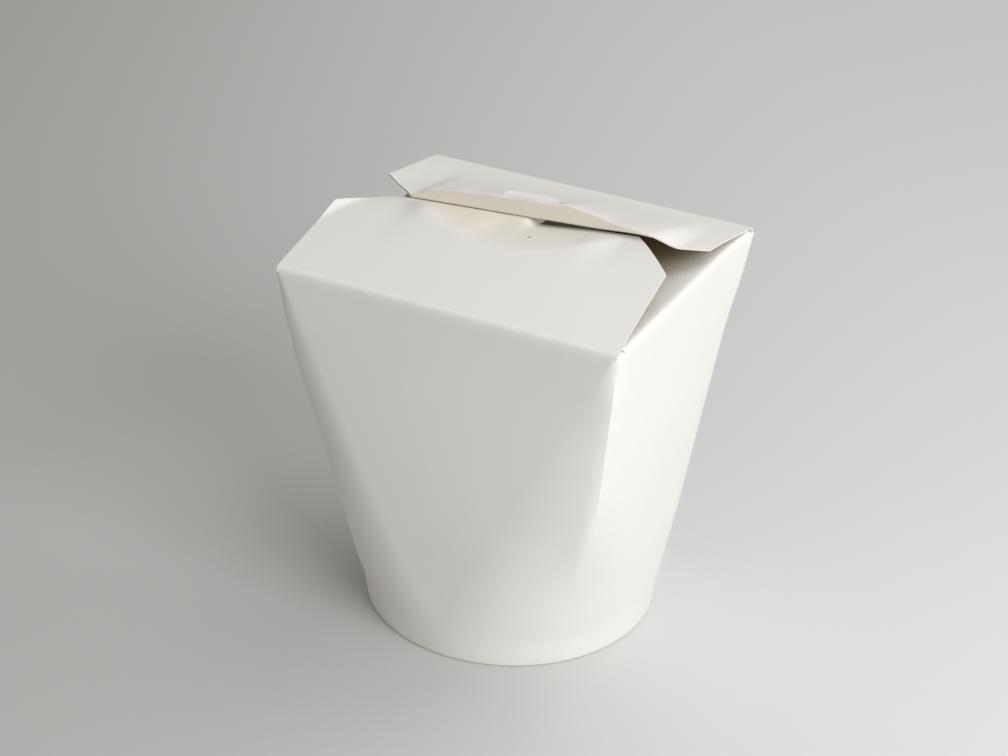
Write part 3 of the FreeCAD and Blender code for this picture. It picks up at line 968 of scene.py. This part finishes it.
# %% Painted shade and painted highlight on the board
STRIP_SHADE_SHARE = 1.0
DIMPLE_SHADE_SHARE = 0.9
DEPTH_START = 47.0
DEPTH_LENGTH = 15.0
SHADE_EDGE = 9.0
SHADE_RIGHT = 0.55
SHADE_RIGHT_WIDTH = 16.0
SHADE_RIDGE = 0.25
STRIP_REACH = 4.0
FOLD_MARK = 0.6
FOLD_INSET = 0.5
TONGUE_CLEAR = 2.0
EAR_MARK_GAIN = 3.0
RIDGE_MARK_SCALE = 0.7
RIDGE_MARK_WIDTH = 0.45
RIDGE_MARK_START = -6.0
RIDGE_MARK_BLEND = 12.0


def paint_values(skin, name, rule):
    """A number at each vertex, from its place in millimetres."""
    layer = skin.verts.layers.float.new(name)
    for point in skin.verts:
        point[layer] = rule(*(point.co / MM))


def dimple_painted_shade(x, y, z):
    """Painted shade in the dimple, weaker towards its right."""
    if abs(z - front_height(x, y)) > BOARD:
        return 0.0
    rightward = smooth_step((x - DIMPLE_MIDDLE) / SHADE_RIGHT_WIDTH + 0.5)
    side = mix(1.0, SHADE_RIGHT, rightward)
    return DIMPLE_SHADE_SHARE * side * smooth_step((y - dimple_start(x)) / SHADE_EDGE)


def blank_fold_white_and_highlight(x, y, z):
    """Painted highlight on the bent corner, the tongue and the front fold, in part the film
    whitened by folding.
    """
    if z < WALL_TOP:
        return 0.0
    if y < FRONT_START:
        return FOLD_MARK if y < FRONT_START - FOLD_INSET else 0.0
    beside = abs(x - LOCK_SHIFT)
    if y > LOCK_LINE and beside < TONGUE_HEAD_HALF and z > FOLD_HEIGHT + TONGUE_CLEAR:
        return 1.0
    return smooth_step(ear_lift(x, y) * EAR_MARK_GAIN) if x < 0 and z > FOLD_HEIGHT else 0.0


def side_flap_painted_shade(x, y, z):
    """Painted shade on the top of a side flap, darker and warmer the further it lies inside.
    """
    away = abs(z - side_height(abs(x)))
    if abs(y) > FLAT_Y or away > DENT + BOARD or z > FOLD_HEIGHT:
        return 0.0
    return smooth_step((DEPTH_START - abs(x)) / DEPTH_LENGTH)


def strip_painted_shade(x, y, z):
    """Painted shade on the strip in front of the ridge."""
    if y > LOCK_LINE + STRIP_REACH:
        return 0.0
    past = rear_sheet(x, y) - rear_strip(x, y)
    return STRIP_SHADE_SHARE * smooth_step(past / SHADE_RIDGE + 0.5)


def ridge_white_and_highlight(x, y, z):
    """Painted highlight along the ridge, from its middle to the right, in part the film
    whitened by folding.
    """
    if y > LOCK_LINE + STRIP_REACH:
        return 0.0
    near = bump((rear_sheet(x, y) - rear_strip(x, y)) / RIDGE_MARK_SCALE, RIDGE_MARK_WIDTH)
    return near * smooth_step((x - RIDGE_MARK_START) / RIDGE_MARK_BLEND)


# %% [markdown]
# ## The glued seam
# The two ends of the blank overlap at the back, left of the middle, where a second layer
# of board lies on the wall. It is a strip of the wall's own surface, one board further
# out, and it stops just under the fold.

# %% The glued seam in the blank
SEAM_LEFT = -HALF_WIDTH + 4.0
SEAM_RIGHT = -HALF_WIDTH + 13.0
SEAM_DROP = 1.5
SEAM_SINK = 0.03
SEAM_STEP_UP = 2.0
SEAM_STEP_ACROSS = 1.2


def seam_point(x, z, shrink):
    """A point of the second layer, at a straight line's place across the rear."""
    half_x, half_y, radius = wall_section(z)
    lengths = leg_lengths((half_x, half_y, radius))
    past = -x * shrink - (half_x - radius)
    if past > 0:
        distance = sum(lengths[:5]) + radius * math.asin(past / radius)
    else:
        distance = sum(lengths[:5]) + past
    return pushed_point(z, distance, BOARD - SEAM_SINK)


def seam_rows():
    """The outside of the second layer, from its foot to its top."""
    low, top = FOOT_HEIGHT + BOARD, WALL_TOP - SEAM_DROP
    places = steps_between([-SEAM_RIGHT, -SEAM_LEFT], SEAM_STEP_ACROSS)
    rows = []
    for z in steps_between([low, top], SEAM_STEP_UP):
        shrink = mix(FOOT_TOP_RADIUS / HALF_WIDTH, 1.0, (z - low) / (top - low))
        rows.append([seam_point(-x, z, shrink) for x in places])
    return rows


add_sheet(blank, seam_rows())
shift_rim_corners(blank)
# Painted shade in the dimple and inside the side flaps, and painted highlight on the folds,
# held at the vertices.
paint_values(blank, "painted_warm_shade", dimple_painted_shade)
paint_values(blank, "fold_white_and_highlight", blank_fold_white_and_highlight)
paint_values(blank, "depth", side_flap_painted_shade)
box_board = board_piece("folded_blank", blank, [blank_board, cut_edge, inner_board])
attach(box_board, "box")
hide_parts("box_blank")

# %% [markdown]
# ## The rear flap
# It is a mesh of its own, because it swings. Its slit is a row of faces left out between
# two lines of the grid, wide enough for the tongue.

# %% The rear flap
HINGE_GAP = 0.1
REAR_SIDE_CUT = 14.5
REAR_CORNER_CUT = 13.0
FLAP_HALF = 48.5
SLIT_HALF = TONGUE_HEAD_HALF + LOCK_PLAY
SLIT_REAR = TONGUE_TIP + LOCK_PLAY
REAR_STEP = 0.5


def rear_rows():
    """The fold at the hinge, and then the flap from its rear to its front edge."""
    stops = [-FLAP_HALF, LOCK_SHIFT - SLIT_HALF, LOCK_SHIFT + SLIT_HALF, FLAP_HALF]
    columns = steps_between(stops, COLUMN_WIDTH)[::-1]
    rows = []
    start = math.asin(HINGE_GAP / FOLD_RADIUS)
    for k in range(FOLD_STEPS + 1):
        angle = mix(start, math.pi / 2 - math.atan(rear_slope_at_fold), k / FOLD_STEPS)
        y = REAR_START + FOLD_RADIUS * math.cos(angle)
        rows.append([(x, y, WALL_TOP + FOLD_RADIUS * math.sin(angle)) for x in columns])
    depths = steps_between([-REAR_START, -SLIT_REAR, -LOCK_LINE, -REAR_EDGE], REAR_STEP)
    for depth in depths:
        rows.append([(x, -depth, rear_height(x, -depth)) for x in columns])
    return rows


def slit_half(y):
    """Half the slit's length at a distance back, as the tongue's head narrows."""
    narrow = (TONGUE_HEAD_HALF - TONGUE_TIP_HALF) / TONGUE_REACH
    return SLIT_HALF - narrow * max(0.0, y - TONGUE_SHOULDER)


def open_slit(mesh):
    """Leaves out the faces between the slit's lines."""
    for side in (1, -1):
        corners = [
            Vector((LOCK_SHIFT + side * slit_half(y), y, 0))
            for y in (TONGUE_SHOULDER, SLIT_REAR)]
        along = corners[1] - corners[0]
        parts = list(mesh.verts) + list(mesh.edges) + list(mesh.faces)
        bmesh.ops.bisect_plane(
            mesh, geom=parts, dist=CUT_TOLERANCE, plane_co=corners[0] * MM,
            plane_no=Vector((along.y, -along.x, 0)).normalized())
    inside = []
    for face in mesh.faces:
        middle = face.calc_center_median() / MM
        beside = abs(middle.x - LOCK_SHIFT)
        if LOCK_LINE < middle.y < SLIT_REAR and beside < slit_half(middle.y):
            inside.append(face)
    bmesh.ops.delete(mesh, geom=inside, context="FACES")


rear_skin = bmesh.new()
add_sheet(
    rear_skin, rear_rows(),
    [(FLAP_HALF - REAR_CORNER_CUT, REAR_EDGE), (FLAP_HALF, REAR_SIDE_CUT)],
    [(-FLAP_HALF, REAR_SIDE_CUT), (-FLAP_HALF + REAR_CORNER_CUT, REAR_EDGE)])
open_slit(rear_skin)
shift_rim_corners(rear_skin)
# Painted shade on the strip and painted highlight on the ridge, held at the vertices.
paint_values(rear_skin, "painted_warm_shade", strip_painted_shade)
paint_values(rear_skin, "fold_white_and_highlight", ridge_white_and_highlight)
rear_board = board_piece("rear_flap_board", rear_skin, [lid_board_painted_lighter, cut_edge, inner_board])
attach(rear_board, "rear_flap")
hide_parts("rear_lid_flap")

# %% [markdown]
# ## The base
# The base disc is hidden in the foot and its shape in the model is right, so it stays
# and only gets its finish: the same board.

# %% The base
base_board = coated_board("base_board")
for material_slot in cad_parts["base_disc"].material_slots:
    material_slot.material = base_board
print("base finish:", base_board.name)

# %% [markdown]
# ## The floor
# The box stands on a plain pale cloth. Its colour is painted darker towards the left
# behind the box, as painted shade where the window's light falls off. One large square
# with this soft painted change of tone does it, and it has next to no gloss, as cloth has.

# %% Floor
FLOOR_HALF = 6
# Painted shade: the floor's colour runs from this dim tone at the left to the pale one, for
# the light's falloff.
FLOOR_PAINTED_SHADE = (0.52, 0.52, 0.51, 1.0)
FLOOR_PALE = (0.77, 0.77, 0.77, 1.0)
FLOOR_TOWARD = (0.80, 0.60, 0.0)
FLOOR_SHADE_UP_TO = -0.24
FLOOR_PALE_FROM = 0.22
FLOOR_UNEVEN = 0.02
floor_mesh = bpy.data.meshes.new("floor")
floor_mesh.from_pydata(
    [(-FLOOR_HALF, -FLOOR_HALF, 0), (FLOOR_HALF, -FLOOR_HALF, 0),
     (FLOOR_HALF, FLOOR_HALF, 0), (-FLOOR_HALF, FLOOR_HALF, 0)], [], [(0, 1, 2, 3)])
floor = bpy.data.objects.new("floor", floor_mesh)
bpy.context.scene.collection.objects.link(floor)
floor_finish = Finish("pale_floor_painted_shade")
across = floor_finish.node(
    "ShaderNodeVectorMath", {"operation": "DOT_PRODUCT"},
    {0: floor_finish.place(), 1: FLOOR_TOWARD}, VECTOR_VALUE)
reach = floor_finish.node("ShaderNodeMapRange", {"interpolation_type": "SMOOTHSTEP"}, {
    "Value": across + floor_finish.noise(9.0, detail=3.0) * FLOOR_UNEVEN,
    "From Min": FLOOR_SHADE_UP_TO, "From Max": FLOOR_PALE_FROM})
# The floor's painted shade, blended across the floor.
floor_painted_falloff = floor_finish.blend(reach, FLOOR_PAINTED_SHADE, FLOOR_PALE)
floor_mesh.materials.append(floor_finish.close(
    Base_Color=floor_painted_falloff, Roughness=0.9, Specular_IOR_Level=0.1))
print("floor:", 2 * FLOOR_HALF, "m square")

# %% [markdown]
# ## The light
# A soft window close by at the right, slightly in front, lights the right side fully
# and leaves the front face in a falling half light. A wide ceiling lamp behind lights the
# lid from above, and a weak warm fill comes from all round.

# %% Light
LAMPS = {
    "window": {
        "place": (0.60, -0.29, 0.42), "target": (0, 0, 0.06), "size": (0.5, 0.5),
        "watts": 4.0, "colour": (0.97, 0.985, 1.0)},
    "ceiling": {
        "place": (0.36, 0.60, 1.15), "target": (0, 0, 0.1), "size": (1.1, 1.1),
        "watts": 5.6, "colour": (1.0, 1.0, 1.0)},
}
FILL_COLOUR = (1.0, 0.965, 0.92, 1.0)
FILL_STRENGTH = 0.35


def soft_lamp(name, place, target, size, watts, colour):
    """A rectangular lamp that faces its target."""
    data = bpy.data.lights.new(name, "AREA")
    data.shape = "RECTANGLE"
    data.size, data.size_y = size
    data.energy = watts
    data.color = colour
    lamp = bpy.data.objects.new(name, data)
    lamp.location = place
    lamp.rotation_mode = "QUATERNION"
    lamp.rotation_quaternion = (Vector(target) - Vector(place)).to_track_quat("-Z", "Y")
    bpy.context.scene.collection.objects.link(lamp)


for lamp_name, values in LAMPS.items():
    soft_lamp(lamp_name, **values)
    print(lamp_name, "lamp:", values["watts"], "W")
world = bpy.data.worlds.new("room")
bpy.context.scene.world = world
world.use_nodes = True
fill = world.node_tree.nodes["Background"]
fill.inputs["Color"].default_value = FILL_COLOUR
fill.inputs["Strength"].default_value = FILL_STRENGTH

# %% [markdown]
# ## The camera
# The camera was fitted to the corners of the mouth and the arc of the foot. It looks
# down on the box from its front right, with a long lens and a slight roll.

# %% Camera
FOCAL_PIXELS = 2210.058
SENSOR_WIDTH = 36.0
IMAGE_WIDTH = 1008
CLIP_START = 0.01
CAMERA_PLACE = Vector((0.2370, -0.4754, 0.3637))
CAMERA_AZIMUTH = math.radians(26.85)
CAMERA_ELEVATION = math.radians(29.16)
CAMERA_ROLL = math.radians(1.42)

back = Vector((
    math.sin(CAMERA_AZIMUTH) * math.cos(CAMERA_ELEVATION),
    -math.cos(CAMERA_AZIMUTH) * math.cos(CAMERA_ELEVATION),
    math.sin(CAMERA_ELEVATION)))
right = (-back).cross(Vector((0, 0, 1))).normalized()
up = right.cross(-back)
rolled_right = math.cos(CAMERA_ROLL) * right + math.sin(CAMERA_ROLL) * up
rolled_up = math.cos(CAMERA_ROLL) * up - math.sin(CAMERA_ROLL) * right
turn = Matrix((rolled_right, rolled_up, back)).transposed()
camera_data = bpy.data.cameras.new("camera")
camera_data.sensor_width = SENSOR_WIDTH
camera_data.lens = FOCAL_PIXELS / IMAGE_WIDTH * SENSOR_WIDTH
camera_data.clip_start = CLIP_START
camera = bpy.data.objects.new("camera", camera_data)
camera.matrix_world = Matrix.Translation(CAMERA_PLACE) @ turn.to_4x4()
bpy.context.scene.collection.objects.link(camera)
bpy.context.scene.camera = camera
bpy.context.scene.view_settings.view_transform = "Standard"
print("lens", round(camera_data.lens, 2), "mm")
